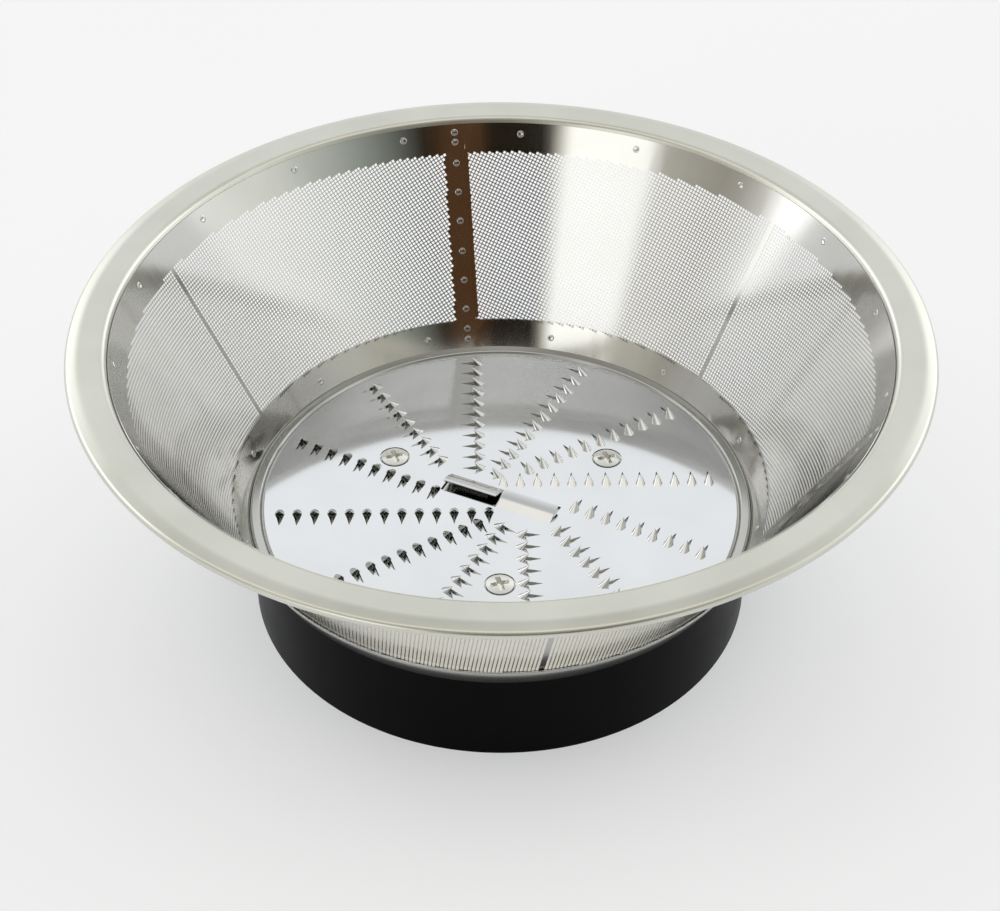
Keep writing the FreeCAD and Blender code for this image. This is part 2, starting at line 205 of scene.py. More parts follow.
# Studio: colours of the walls by azimuth, and of the ceiling by angle from the front to the back
STUDIO_WALLS = (
    (-180, (2.10, 2.10, 2.10)),
    (-171, (0.83, 0.82, 0.78)),
    (-164, (0.52, 0.50, 0.45)),
    (-158, (0.44, 0.42, 0.37)),
    (-139, (0.65, 0.63, 0.57)),
    (-134, (1.78, 1.78, 1.73)),
    (-110.5, (1.78, 1.78, 1.73)),
    (-107, (0.65, 0.62, 0.54)),
    (-104, (0.015, 0.011, 0.005)),
    (-86, (0.015, 0.011, 0.005)),
    (-82, (0.115, 0.054, 0.022)),
    (-75, (0.115, 0.054, 0.022)),
    (-66, (0.025, 0.018, 0.009)),
    (-47, (0.39, 0.43, 0.39)),
    (-21, (0.92, 0.95, 0.90)),
    (5, (1.25, 1.27, 1.23)),
    (20, (2.20, 2.21, 2.22)),
    (55, (2.20, 2.21, 2.22)),
    (75, (0.92, 0.93, 0.94)),
    (105, (0.92, 0.93, 0.94)),
    (125, (2.20, 2.21, 2.22)),
    (170, (2.20, 2.21, 2.22)),
    (180, (2.10, 2.10, 2.10)),
)
STUDIO_CEILING = (
    (0, (0.30, 0.29, 0.27)),
    (55, (0.40, 0.39, 0.36)),
    (73, (1.20, 1.16, 1.06)),
    (89, (1.20, 1.16, 1.06)),
    (97, (0.68, 0.68, 0.67)),
    (110, (0.68, 0.68, 0.67)),
    (128, (0.86, 0.87, 0.86)),
    (134, (0.99, 1.00, 0.99)),
    (137.5, (1.14, 1.16, 1.17)),
    (139.5, (1.12, 1.14, 1.15)),
    (144, (0.95, 0.96, 0.95)),
    (180, (0.95, 0.96, 0.95)),
)
WALL_TOP = (0.45, 0.62)
BACKDROP = (0.93, 0.94, 0.95, 1)
BACKDROP_TOP = (0.15, 0.18)
FLOOR_HALF = 3.0
FLOOR_COLOURS = ((0.90, 0.91, 0.92), (0.93, 0.94, 0.95))
FLOOR_CLOUD_SCALE = 3.0
FLOOR_ROUGHNESS = 0.8
FLOOR_GLOW = 0.4
GLOW_COLOUR = (0.97, 0.985, 1.0, 1)


def cone_radius(z, offset=0.0):
    """Radius of the cone at height z, moved outwards by offset across the sheet."""
    return CONE_FOOT_RADIUS + (z - MESH_FOOT) * CONE_SLOPE + offset / CONE_COS


def add_piece(name, points, faces, material, node=None, crease=35.0):
    """A mesh piece from points in millimetres, smooth but for level faces and edges sharper than crease."""
    mesh = bpy.data.meshes.new(name)
    mesh.from_pydata([tuple(p) for p in np.asarray(points) * MM], [], faces)
    mesh.validate()
    shape = bmesh.new()
    shape.from_mesh(mesh)
    bmesh.ops.recalc_face_normals(shape, faces=shape.faces)
    shape.to_mesh(mesh)
    shape.free()
    mesh.shade_smooth()
    mesh.set_sharp_from_angle(angle=math.radians(crease))
    for face in mesh.polygons:
        face.use_smooth = abs(face.normal.z) < FLAT_NORMAL
    mesh.materials.append(material)
    piece = bpy.data.objects.new(name, mesh)
    bpy.context.scene.collection.objects.link(piece)
    if node:
        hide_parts(node)
    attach(piece, "root")


def rounded(corners, steps=6):
    """Closed outline through (radius, height) corners, with a rounding as optional third value."""
    outline = []
    for i, corner in enumerate(corners):
        here = Vector(corner[:2])
        if len(corner) < 3:
            outline.append(tuple(here))
            continue
        back = (Vector(corners[i - 1][:2]) - here).normalized()
        ahead = (Vector(corners[(i + 1) % len(corners)][:2]) - here).normalized()
        half = back.angle(ahead) / 2
        centre = here + (back + ahead).normalized() * (corner[2] / math.sin(half))
        start = here + back * (corner[2] / math.tan(half)) - centre
        end = here + ahead * (corner[2] / math.tan(half)) - centre
        sweep = start.angle_signed(end)
        for k in range(steps + 1):
            spoke = start.copy()
            spoke.rotate(Matrix.Rotation(-sweep * k / steps, 2))
            outline.append(tuple(centre + spoke))
    return outline


def lathe(outline, segments):
    """Points and faces of a closed outline turned about the axis."""
    count = len(outline)
    angles = np.arange(segments) * 2 * math.pi / segments
    rz = np.array(outline)
    points = np.stack([
        np.outer(np.cos(angles), rz[:, 0]),
        np.outer(np.sin(angles), rz[:, 0]),
        np.tile(rz[:, 1], (segments, 1)),
    ], axis=-1).reshape(-1, 3)
    faces = []
    for a in range(segments):
        b = (a + 1) % segments
        for i in range(count):
            j = (i + 1) % count
            faces.append((a * count + i, b * count + i, b * count + j, a * count + j))
    return points, faces


class NodeTree:
    """Short calls to add and link shader nodes."""

    def __init__(self, tree):
        self.tree = tree

    def feed(self, node, inputs):
        """Set a node's inputs, each to a value or to another node's output."""
        for key, value in inputs.items():
            if isinstance(value, bpy.types.NodeSocket):
                self.tree.links.new(value, node.inputs[key])
            else:
                node.inputs[key].default_value = value

    def add(self, kind, inputs=None, **settings):
        """A new node with its settings and inputs."""
        node = self.tree.nodes.new(kind)
        for key, value in settings.items():
            setattr(node, key, value)
        self.feed(node, inputs or {})
        return node

    def math(self, operation, first, second):
        return self.add("ShaderNodeMath", {0: first, 1: second}, operation=operation).outputs["Value"]

    def noise(self, vector, scale, detail=2.0, roughness=0.5):
        return self.add("ShaderNodeTexNoise", {
            "Vector": vector, "Scale": scale, "Detail": detail, "Roughness": roughness}).outputs["Fac"]

    def span(self, value, low, high):
        """Middle half of a noise carried to low to high."""
        return self.add("ShaderNodeMapRange", {
            "Value": value, "From Min": NOISE_SPAN[0], "From Max": NOISE_SPAN[1],
            "To Min": low, "To Max": high}).outputs["Result"]

    def share(self, value, start, end, kind="LINEAR"):
        """How far a value has come from start to end, from 0 to 1."""
        return self.add(
            "ShaderNodeMapRange", {"Value": value, "From Min": start, "From Max": end},
            interpolation_type=kind).outputs["Result"]

    def stops(self, value, stops):
        """Colour ramp through (position, colour) stops."""
        node = self.add("ShaderNodeValToRGB", {"Fac": value})
        ramp = node.color_ramp
        for _ in stops[2:]:
            ramp.elements.new(0.5)
        for element, (position, _) in zip(ramp.elements, stops):
            element.position = position
        for element, (_, colour) in zip(ramp.elements, stops):
            element.color = (*colour, 1)
        return node.outputs["Color"]

    def ramp(self, value, colours):
        """Two colours mixed by a noise."""
        return self.stops(value, list(zip(NOISE_STOPS, colours)))

    def seen(self):
        """1 for rays from the camera, in mirrors and through glass, 0 for all others."""
        path = self.add("ShaderNodeLightPath").outputs
        mirrored = self.math("MAXIMUM", path["Is Glossy Ray"], path["Is Transmission Ray"])
        return self.math("MAXIMUM", path["Is Camera Ray"], mirrored)


def start_material(name):
    """A new material's node helper, its shader, and the object's own coordinates."""
    material = bpy.data.materials.new(name)
    material.use_nodes = True
    nodes = NodeTree(material.node_tree)
    shader = material.node_tree.nodes["Principled BSDF"]
    place = nodes.add("ShaderNodeTexCoord").outputs["Object"]
    return material, nodes, shader, place


def polar(nodes, place):
    """Radius, azimuth and height about the basket's axis, from the object's coordinates."""
    parts = nodes.add("ShaderNodeSeparateXYZ", {"Vector": place}).outputs
    flat = nodes.add("ShaderNodeCombineXYZ", {"X": parts["X"], "Y": parts["Y"]}).outputs["Vector"]
    radius = nodes.add("ShaderNodeVectorMath", {0: flat}, operation="LENGTH").outputs["Value"]
    return radius, nodes.math("ARCTAN2", parts["Y"], parts["X"]), parts["Z"]


def steel(name, dark, light, roughness, grain, grain_scale, grain_depth):
    """Stainless steel with a grain that runs round the axis or up the wall, or has no direction."""
    material, nodes, shader, place = start_material(name)
    radius, azimuth, height = polar(nodes, place)
    if grain == "round":
        along = nodes.add("ShaderNodeCombineXYZ", {"X": radius, "Y": height}).outputs["Vector"]
    elif grain == "up":
        along = nodes.add("ShaderNodeCombineXYZ", {"X": azimuth}).outputs["Vector"]
    else:
        along = place
    fine = nodes.noise(along, grain_scale, 3.0, 0.6)
    cloud = nodes.noise(place, STEEL_CLOUD_SCALE)
    halved = nodes.math("MULTIPLY", nodes.math("ADD", fine, cloud), 0.5)
    bump = nodes.add("ShaderNodeBump", {"Height": fine, "Strength": grain_depth, "Distance": STEEL_BUMP})
    nodes.feed(shader, {
        "Base Color": nodes.ramp(cloud, (dark, light)),
        "Metallic": 1.0,
        "Roughness": nodes.span(halved, *roughness),
        "Normal": bump.outputs["Normal"],
    })
    return material


def black_plastic():
    """Satin black moulded plastic with a fine grain and faint wear."""
    material, nodes, shader, place = start_material("black_plastic")
    grain = nodes.noise(place, PLASTIC_GRAIN_SCALE)
    cloud = nodes.noise(place, PLASTIC_CLOUD_SCALE, 3.0)
    bump = nodes.add("ShaderNodeBump", {
        "Height": grain, "Strength": PLASTIC_BUMP_STRENGTH, "Distance": PLASTIC_BUMP})
    nodes.feed(shader, {
        "Base Color": nodes.ramp(cloud, PLASTIC_COLOURS),
        "Specular IOR Level": PLASTIC_SPECULAR,
        "Roughness": nodes.span(cloud, *PLASTIC_ROUGHNESS),
        "Normal": bump.outputs["Normal"],
    })
    return material


def rim_piece(material):
    """Rolled hoop with a conical skirt outside the mesh."""
    inner = MESH_SHEET + SHEET_GAP
    outer = inner + RIM_SHEET
    under = RIM_TOP - RIM_SHEET
    lip = RIM_TOP - RIM_LIP_DROP
    outline = rounded([
        (cone_radius(SKIRT_BOTTOM, inner), SKIRT_BOTTOM),
        (cone_radius(SKIRT_BOTTOM, outer), SKIRT_BOTTOM),
        (cone_radius(under, outer), under, RIM_SKIRT_ROUNDING),
        (RIM_RADIUS - RIM_SHEET, under, RIM_LIP_ROUNDING),
        (RIM_RADIUS - RIM_SHEET, lip, CUT_EDGE),
        (RIM_RADIUS, lip, CUT_EDGE),
        (RIM_RADIUS, RIM_TOP - RIM_ROLL_DROP, RIM_ROLL_ROUNDING),
        (RIM_RADIUS - RIM_ROLL_WIDTH, RIM_TOP, RIM_TOP_ROUNDING),
        (cone_radius(RIM_TOP, inner), RIM_TOP, RIM_MOUTH_ROUNDING),
    ], RIM_ROUNDING_STEPS)
    points, faces = lathe(outline, RIM_SEGMENTS)
    add_piece("rim_hoop", points, faces, material, "rim_ring")


class Shell:
    """Points and faces of a closed piece, collected as it is built."""

    def __init__(self):
        self.points = []
        self.faces = []

    def add(self, points):
        """Numbers of new points."""
        first = len(self.points)
        self.points += [tuple(point) for point in points]
        return list(range(first, len(self.points)))

    def strip(self, row, following, closed=False):
        """Faces between two rows of points."""
        for k in range(len(row) if closed else len(row) - 1):
            n = (k + 1) % len(row)
            self.faces.append((row[k], row[n], following[n], following[k]))

    def fan(self, tip, row, closed=False):
        """Faces between a point and a row."""
        for k in range(len(row) if closed else len(row) - 1):
            self.faces.append((tip, row[k], row[(k + 1) % len(row)]))

    def plate(self, outer, holes):
        """Flat face inside an outer loop and round the loops of its holes."""
        loops = [outer] + holes
        used = [v for loop in loops for v in loop]
        owner = [k for k, loop in enumerate(loops) for v in loop]
        number = {v: k for k, v in enumerate(used)}
        edges = [(number[loop[k - 1]], number[loop[k]]) for loop in loops for k in range(len(loop))]
        flat = [Vector(self.points[v][:2]) for v in used]
        result = delaunay_2d_cdt(flat, edges, [], 1, MERGE_DISTANCE)
        for triangle in result[2]:
            corners = [result[3][v][0] for v in triangle]
            owners = {owner[v] for v in corners}
            middle = sum((flat[v] for v in corners), Vector((0, 0))) / 3
            hole = owners.pop()
            if owners or hole == 0 or not inside(middle, [flat[number[v]] for v in loops[hole]]):
                self.faces.append(tuple(used[v] for v in corners))

    def turned(self, place, outline, segments):
        """Wall of a (radius, height) outline turned about a flat place; gives its first and last ring."""
        angles = [2 * math.pi * k / segments for k in range(segments)]
        rings = []
        for r, z in outline:
            rings.append(self.add(
                (place[0] + r * math.cos(a), place[1] + r * math.sin(a), z) for a in angles))
        for ring, following in zip(rings, rings[1:]):
            self.strip(ring, following, True)
        return rings[0], rings[-1]


def inside(point, loop):
    """Whether a flat point lies inside a loop."""
    found = False
    for k in range(len(loop)):
        a, b = loop[k - 1], loop[k]
        if (a.y > point.y) != (b.y > point.y):
            found ^= point.x < a.x + (b.x - a.x) * (point.y - a.y) / (b.y - a.y)
    return found


def on_circle(radius, azimuth):
    """Flat point on a circle about the axis."""
    return radius * math.cos(math.radians(azimuth)), radius * math.sin(math.radians(azimuth))


def pan_piece(material):
    """Pressed pan with a bead round the disc and a collar outside the mesh's foot."""
    inner = MESH_SHEET + SHEET_GAP
    outer = inner + PAN_SHEET
    flat_radius = DISC_RADIUS - PAN_FLAT_INSET
    bead_top = FLOOR_TOP + BEAD_HEIGHT
    bead_outer = CONE_FOOT_RADIUS - SHEET_GAP
    outline = rounded([
        (flat_radius, FLOOR_TOP),
        (DISC_RADIUS + BEAD_FOOT, FLOOR_TOP, BEAD_FOOT_ROUNDING),
        (DISC_RADIUS + BEAD_SHOULDER, bead_top, BEAD_INNER_ROUNDING),
        (bead_outer, bead_top, BEAD_OUTER_ROUNDING),
        (bead_outer, FLOOR_TOP),
        (cone_radius(FLOOR_TOP, inner), FLOOR_TOP),
        (cone_radius(COLLAR_TOP, inner), COLLAR_TOP, CUT_EDGE),
        (cone_radius(COLLAR_TOP, outer), COLLAR_TOP, CUT_EDGE),
        (cone_radius(SEAT, outer), SEAT, COLLAR_ROUNDING),
        (flat_radius, SEAT),
    ])
    shell = Shell()
    top, bottom = shell.turned((0, 0), outline, ROUND_SEGMENTS)
    holes = [((0, 0), PAN_HOLE_RADIUS)]
    holes += [(on_circle(SCREW_CIRCLE, azimuth), PAN_SCREW_HOLE) for azimuth in SCREW_AZIMUTHS]
    walls = [shell.turned(place, [(r, FLOOR_TOP), (r, SEAT)], HOLE_SEGMENTS) for place, r in holes]
    shell.plate(top, [upper for upper, lower in walls])
    shell.plate(bottom, [lower for upper, lower in walls])
    add_piece("pressed_pan", shell.points, shell.faces, material, "base_pan")


def placed(points, place, azimuth):
    """Points moved to a flat place and the disc's top, their x turned to an azimuth."""
    cos, sin = math.cos(math.radians(azimuth)), math.sin(math.radians(azimuth))
    return [
        (place[0] + x * cos - y * sin, place[1] + x * sin + y * cos, DISC_TOP + z)
        for x, y, z in points]


def hood_rows(trim):
    """Tip of a tooth's hood, thinner by trim, and rows of points from under the tip to its foot."""
    half_width = TOOTH_WIDTH / 2 - trim
    length = TOOTH_LENGTH - HOOD_TRIM * trim
    height = TOOTH_HEIGHT - HOOD_TRIM * trim
    tip = TOOTH_LEAN * height / TOOTH_HEIGHT
    angles = [math.pi * k / HOOD_COLUMNS for k in range(HOOD_COLUMNS + 1)]
    rows = []
    for share in HOOD_ROWS:
        reach = length * share ** HOOD_BACK_CURVE
        side = half_width * share ** HOOD_SIDE_CURVE
        rows.append([
            (tip * (1 - share) - reach * math.sin(a), -side * math.cos(a), height * (1 - share))
            for a in angles])
    return (tip, 0, height), rows


def punched_tooth(shell, place, azimuth, notch):
    """One hollow tooth with the notch before its mouth; gives its loops in the disc's two faces."""
    skins = []
    for trim in (0.0, TOOTH_WALL):
        top, rows = hood_rows(trim)
        tip = shell.add(placed([top], place, azimuth))[0]
        grid = [shell.add(placed(row, place, azimuth)) for row in rows]
        shell.fan(tip, grid[0])
        for row, following in zip(grid, grid[1:]):
            shell.strip(row, following)
        mouth = [row[0] for row in reversed(grid)] + [tip] + [row[-1] for row in grid]
        skins.append((mouth, grid[-1]))
    (outer_mouth, outer_foot), (inner_mouth, inner_foot) = skins
    shell.strip(outer_mouth, inner_mouth)
    point = shell.add(placed([(notch, 0, 0)], place, azimuth))
    upper = inner_foot + point
    lower = shell.add((x, y, FLOOR_TOP) for x, y, z in (shell.points[v] for v in upper))
    shell.strip(upper, lower, True)
    return outer_foot + [inner_foot[-1]] + point + [inner_foot[0]], lower


def tooth_places():
    """Flat place, pointing azimuth and notch of every tooth, row by row from the outside in."""
    rows = len(ROW_TEETH)
    for row, count in enumerate(ROW_TEETH):
        azimuth = FIRST_ROW_AZIMUTH - row * 360.0 / rows
        side = on_circle(ROW_OFFSET, azimuth + 90)
        outermost = ROW_OUTER_REACH - (TOOTH_PITCH / 2 if row >= rows / 2 else 0)
        for i in range(count):
            along = on_circle(outermost - i * TOOTH_PITCH, azimuth)
            notch = SHORT_NOTCH_LENGTH if (row, i) in SHORT_NOTCH_TEETH else NOTCH_LENGTH
            yield (along[0] + side[0], along[1] + side[1]), azimuth + 90, notch


def blade_profile():
    """Points (across, up) along a blade's upper face, from after its hinge to its edge."""
    for k in range(1, BLADE_STEPS + 1):
        t = k / BLADE_STEPS
        weights = ((1 - t) ** 3, 3 * t * (1 - t) ** 2, 3 * t ** 2 * (1 - t), t ** 3)
        yield [sum(weight * point[axis] for weight, point in zip(weights, BLADE_CURVE)) for axis in (0, 1)]


def lanced_blade(shell, azimuth):
    """One blade curved up out of its slot; gives the slot's loops in the disc's two faces."""
    start, end = BLADE_START, BLADE_START + BLADE_LENGTH
    slot_start, slot_end = start - BLADE_END_GAP, end + BLADE_END_GAP
    slot = [
        (start, BLADE_HINGE), (slot_start, BLADE_HINGE), (slot_start, BLADE_SLOT_REACH),
        (slot_end, BLADE_SLOT_REACH), (slot_end, BLADE_HINGE), (end, BLADE_HINGE)]

    def level(flat, z):
        return shell.add(placed([(x, y, z) for x, y in flat], (0, 0), azimuth))

    upper = level(slot, 0)
    lower = level(slot, -DISC_SHEET)
    shell.strip(upper, lower)
    over, under = [(upper[0], upper[-1])], [(lower[0], lower[-1])]
    for y, z in blade_profile():
        over.append(level([(start, y), (end, y)], z))
        under.append(level([(start, y), (end, y)], z - DISC_SHEET))
    for skin in (over, under):
        for row, following in zip(skin, skin[1:]):
            shell.strip(row, following)
    for side in (0, 1):
        shell.strip([row[side] for row in over], [row[side] for row in under])
    shell.strip(over[-1], under[-1])
    return upper, lower


def disc_piece(material):
    """Grater disc with rounded edge, punched teeth, middle blades and countersunk holes."""
    shell = Shell()
    radius, height = DISC_RADIUS - DISC_EDGE, DISC_TOP - DISC_EDGE
    bends = [math.pi / 2 * k / DISC_EDGE_STEPS for k in range(DISC_EDGE_STEPS + 1)]
    edge = [(radius + DISC_EDGE * math.sin(a), height + DISC_EDGE * math.cos(a)) for a in bends]
    top, bottom = shell.turned((0, 0), edge + [(DISC_RADIUS, FLOOR_TOP)], ROUND_SEGMENTS)
    sink = [
        (SCREW_HOLE_RADIUS, DISC_TOP),
        (SCREW_HOLE_RADIUS, DISC_TOP - SCREW_HOLE_WALL),
        (SCREW_HOLE_RADIUS - SCREW_HOLE_TAPER, FLOOR_TOP),
    ]
    holes = [shell.turned(on_circle(SCREW_CIRCLE, a), sink, HOLE_SEGMENTS) for a in SCREW_AZIMUTHS]
    holes += [lanced_blade(shell, azimuth) for azimuth in (BLADE_AZIMUTH, BLADE_AZIMUTH + 180)]
    holes += [punched_tooth(shell, *tooth) for tooth in tooth_places()]
    shell.plate(top, [upper for upper, lower in holes])
    shell.plate(bottom, [lower for upper, lower in holes])
    add_piece("grater_disc", shell.points, shell.faces, material, "cutting_disc", crease=40.0)


def recess_reach(angle):
    """Distance from a screw's axis to the edge of its cross recess."""
    within = abs((angle + math.pi / 4) % (math.pi / 2) - math.pi / 4)
    end = RECESS_LENGTH / 2 / math.cos(within)
    return min(end, RECESS_WIDTH / 2 / math.sin(within)) if within > 1e-6 else end


def screw_angles():
    """Angles round a screw's axis that meet every corner of its cross recess."""
    corner = math.atan2(RECESS_WIDTH, RECESS_LENGTH)
    rest = math.pi / 4 - corner
    eighth = [0, corner / 2, corner] + [corner + rest * share for share in RECESS_SPREAD]
    quarter = eighth + [math.pi / 4] + [math.pi / 2 - a for a in reversed(eighth[1:])]
    return [a + k * math.pi / 2 for k in range(4) for a in quarter]


def dome_height(radius):
    """Height of a screw head's face at a distance from its axis."""
    return SCREW_SEAT + SCREW_EDGE + (SCREW_DOME - SCREW_EDGE) * (1 - (radius / SCREW_HEAD_RADIUS) ** 2)


def screw_rows(angles):
    """Radii and heights round a screw, row by row from the floor of its recess to its end."""
    mouth = [recess_reach(a) for a in angles]
    yield [r * RECESS_TAPER for r in mouth], [RECESS_FLOOR for a in angles]
    for share in HEAD_ROWS:
        radii = [r + (SCREW_HEAD_RADIUS - r) * share for r in mouth]
        yield radii, [dome_height(r) for r in radii]
    neck = SCREW_SEAT + SCREW_SHANK_RADIUS - SCREW_HEAD_RADIUS
    for radius, z in (
            (SCREW_HEAD_RADIUS, SCREW_SEAT), (SCREW_SHANK_RADIUS, neck), (SCREW_SHANK_RADIUS, SCREW_END)):
        yield [radius for a in angles], [z for a in angles]


def screw_pieces(material):
    """Three screws with domed heads and cross recesses, one piece."""
    shell = Shell()
    angles = screw_angles()
    for azimuth in SCREW_AZIMUTHS:
        x0, y0 = on_circle(SCREW_CIRCLE, azimuth)
        rings = []
        for radii, heights in screw_rows(angles):
            rings.append(shell.add(
                (x0 + r * math.cos(a + SCREW_TURN), y0 + r * math.sin(a + SCREW_TURN), z)
                for a, r, z in zip(angles, radii, heights)))
        for row, following in zip(rings, rings[1:]):
            shell.strip(row, following, True)
        ends = shell.add([(x0, y0, RECESS_FLOOR), (x0, y0, SCREW_END)])
        shell.fan(ends[0], rings[0], True)
        shell.fan(ends[1], rings[-1], True)
    add_piece("cross_screws", shell.points, shell.faces, material, "disc_screws")


def weld_places():
    """Height and azimuth of every spot weld."""
    for z, count, first in (UPPER_WELDS, LOWER_WELDS):
        for k in range(count):
            yield z, first + k * 360.0 / count
    for middle in PANELS.values():
        for z in SEAM_WELD_HEIGHTS:
            yield z, middle - PANEL_HALF_ANGLE


def weld_piece(material):
    """Spot welds: low round rings pressed into the inner face of the mesh, one piece."""
    shell = Shell()
    angles = [2 * math.pi * k / WELD_SEGMENTS for k in range(WELD_SEGMENTS)]
    for z, azimuth in weld_places():
        outward = Vector((*on_circle(1, azimuth), 0))
        inwards = Vector((-outward.x * CONE_COS, -outward.y * CONE_COS, CONE_SIN))
        along = Vector((outward.x * CONE_SIN, outward.y * CONE_SIN, CONE_COS))
        across = along.cross(inwards)
        centre = outward * cone_radius(z) + Vector((0, 0, z))
        spokes = [along * math.cos(a) + across * math.sin(a) for a in angles]
        rings = []
        for r, h in WELD_PROFILE:
            rings.append(shell.add(
                centre + spoke * (r * WELD_RADIUS) + inwards * (h * WELD_HEIGHT) for spoke in spokes))
        for row, following in zip(rings, rings[1:]):
            shell.strip(row, following, True)
        ends = shell.add(
            centre + inwards * (h * WELD_HEIGHT) for h in (WELD_MIDDLE, WELD_PROFILE[0][1]))
        shell.fan(ends[0], rings[-1], True)
        shell.fan(ends[1], rings[0], True)
    add_piece("spot_welds", shell.points, shell.faces, material, None, crease=80.0)


def blank_to_cone(flat, middle_azimuth, offset):
    """Points of a flat blank rolled into the cone, offset outwards across the sheet."""
    flat = np.asarray(flat)
    slant = np.hypot(flat[:, 0], flat[:, 1])
    azimuth = math.radians(middle_azimuth) + np.arctan2(flat[:, 0], flat[:, 1]) / CONE_SIN
    radius = slant * CONE_SIN + offset * CONE_COS
    height = APEX_Z + slant * CONE_COS - offset * CONE_SIN
    return np.column_stack([radius * np.cos(azimuth), radius * np.sin(azimuth), height])


def slant_at(z):
    """Distance from the cone's apex along its wall."""
    return (z - APEX_Z) / CONE_COS


def end_line(side, beyond):
    """A panel's end on its blank: a line parallel to the seam, beyond it by a distance. Bottom first."""
    lean = side * math.radians(PANEL_HALF_ANGLE) * CONE_SIN
    along = np.array([math.sin(lean), math.cos(lean)])
    across = np.array([math.cos(lean), -math.sin(lean)]) * side
    ends = []
    for z in (MESH_FOOT, MESH_TOP):
        reach = math.sqrt(slant_at(z) ** 2 - beyond ** 2)
        ends.append(along * reach + across * beyond)
    return ends


def panel_outline():
    """Outline of a panel's blank, counter-clockwise: its start laps inside the panel before it."""
    first_low, first_high = end_line(-1, LAP_HALF_WIDTH)
    last_low, last_high = end_line(1, -LAP_HALF_WIDTH - SHEET_GAP)

    def arc(start, end, count):
        angles = np.linspace(math.atan2(start[0], start[1]), math.atan2(end[0], end[1]), count)
        slant = np.hypot(*start)
        return [(slant * math.sin(a), slant * math.cos(a)) for a in angles]

    def straight(start, end, count):
        return [tuple(start + (end - start) * k / count) for k in range(1, count)]

    return (
        arc(first_low, last_low, PANEL_FOOT_STEPS) + straight(last_low, last_high, PANEL_END_STEPS)
        + arc(last_high, first_high, PANEL_TOP_STEPS) + straight(first_high, first_low, PANEL_END_STEPS))


def field_holes():
    """Lattice places (column, row) of whole holes in half a panel, column 0 beside its middle line."""
    lean = math.radians(PANEL_HALF_ANGLE) * CONE_SIN
    low, high = slant_at(FIELD_BOTTOM), slant_at(FIELD_TOP)
    columns = np.arange(int(high * math.sin(lean) / HOLE_PITCH) + 2)
    rows = np.arange(int(low * math.cos(lean) / HOLE_PITCH) - 2, int(high / HOLE_PITCH) + 2)
    column, row = np.meshgrid(columns, rows, indexing="ij")
    fits = np.ones(column.shape, bool)
    for dx in (0, HOLE_SIDE):
        for dy in (0, HOLE_SIDE):
            x = MIDDLE_LINE / 2 + column * HOLE_PITCH + dx
            y = row * HOLE_PITCH + dy
            slant = np.hypot(x, y)
            to_seam = slant * np.sin(lean - np.arctan2(x, y))
            fits &= (slant > low) & (slant < high) & (to_seam > LAP_HALF_WIDTH + SHEET_GAP)
    return set(zip(column[fits].tolist(), row[fits].tolist()))


def fine_cells(holes):
    """Cells of the holes (even, even) and of the bars between them, on a grid of twice the lattice."""
    solid = set()
    for i, j in holes:
        right = (i + 1, j) in holes
        above = (i, j + 1) in holes
        if right:
            solid.add((2 * i + 1, 2 * j))
        if above:
            solid.add((2 * i, 2 * j + 1))
        if right and above and (i + 1, j + 1) in holes:
            solid.add((2 * i + 1, 2 * j + 1))
    return {(2 * i, 2 * j) for i, j in holes}, solid


def grid_line(index):
    """Distance of a line of the fine grid from the first hole's edge."""
    return (index // 2) * HOLE_PITCH + (index % 2) * HOLE_SIDE


def cell_corners(cell):
    """Grid points of a cell, counter-clockwise."""
    i, j = cell
    return [(i, j), (i + 1, j), (i + 1, j + 1), (i, j + 1)]


def fine_index(distance):
    """Number of the fine grid's cell that holds a distance."""
    whole = math.floor(distance / HOLE_PITCH)
    return 2 * whole + (1 if distance - whole * HOLE_PITCH > HOLE_SIDE else 0)


def margin_faces(flat, edges, cells):
    """Triangles between a blank's outline and its perforated field."""
    used = sorted({v for edge in edges for v in edge})
    number = {v: k for k, v in enumerate(used)}
    result = delaunay_2d_cdt(
        [Vector(flat[v]) for v in used], [(number[a], number[b]) for a, b in edges], [], 1, MERGE_DISTANCE)
    corners, triangles, sources = result[0], result[2], result[3]
    faces = []
    for triangle in triangles:
        middle = sum((corners[v] for v in triangle), Vector((0, 0))) / 3
        cell = (fine_index(abs(middle.x) - MIDDLE_LINE / 2), fine_index(middle.y))
        if cell not in cells:
            faces.append(tuple(used[sources[v][0]] for v in triangle))
    return faces


def panel_sheet():
    """Flat points, faces and wall edges of one perforated blank; both halves mirror each other."""
    hole_cells, solid_cells = fine_cells(field_holes())
    cells = hole_cells | solid_cells
    index = {}
    flat = []

    def point(side, corner):
        key = (side, *corner)
        if key not in index:
            index[key] = len(flat)
            flat.append((side * (MIDDLE_LINE / 2 + grid_line(corner[0])), grid_line(corner[1])))
        return index[key]

    faces, walls, border = [], [], []
    neighbours = ((0, -1), (1, 0), (0, 1), (-1, 0))
    for side in (-1, 1):
        for cell in cells:
            loop = [point(side, corner) for corner in cell_corners(cell)]
            edges = [(loop[k], loop[(k + 1) % 4]) for k in range(4)]
            if cell in solid_cells:
                faces.append(tuple(loop[::side]))
            else:
                walls += [edge[::-side] for edge in edges]
            for edge, (di, dj) in zip(edges, neighbours):
                if (cell[0] + di, cell[1] + dj) not in cells:
                    border.append(edge)
    outline = panel_outline()
    first = len(flat)
    flat += outline
    rim = [(first + k, first + (k + 1) % len(outline)) for k in range(len(outline))]
    walls += rim
    faces += margin_faces(flat, border + rim, cells)
    return np.array(flat), faces, walls


def closed_sheet(inner, outer, faces, walls):
    """Points and faces of a sheet between two layers: walls join the two along their edges."""
    count = len(inner)
    points = np.vstack([inner, outer])
    solid = [tuple(face) for face in faces]
    solid += [tuple(v + count for v in reversed(face)) for face in faces]
    solid += [(b, a, a + count, b + count) for a, b in walls]
    return points, solid


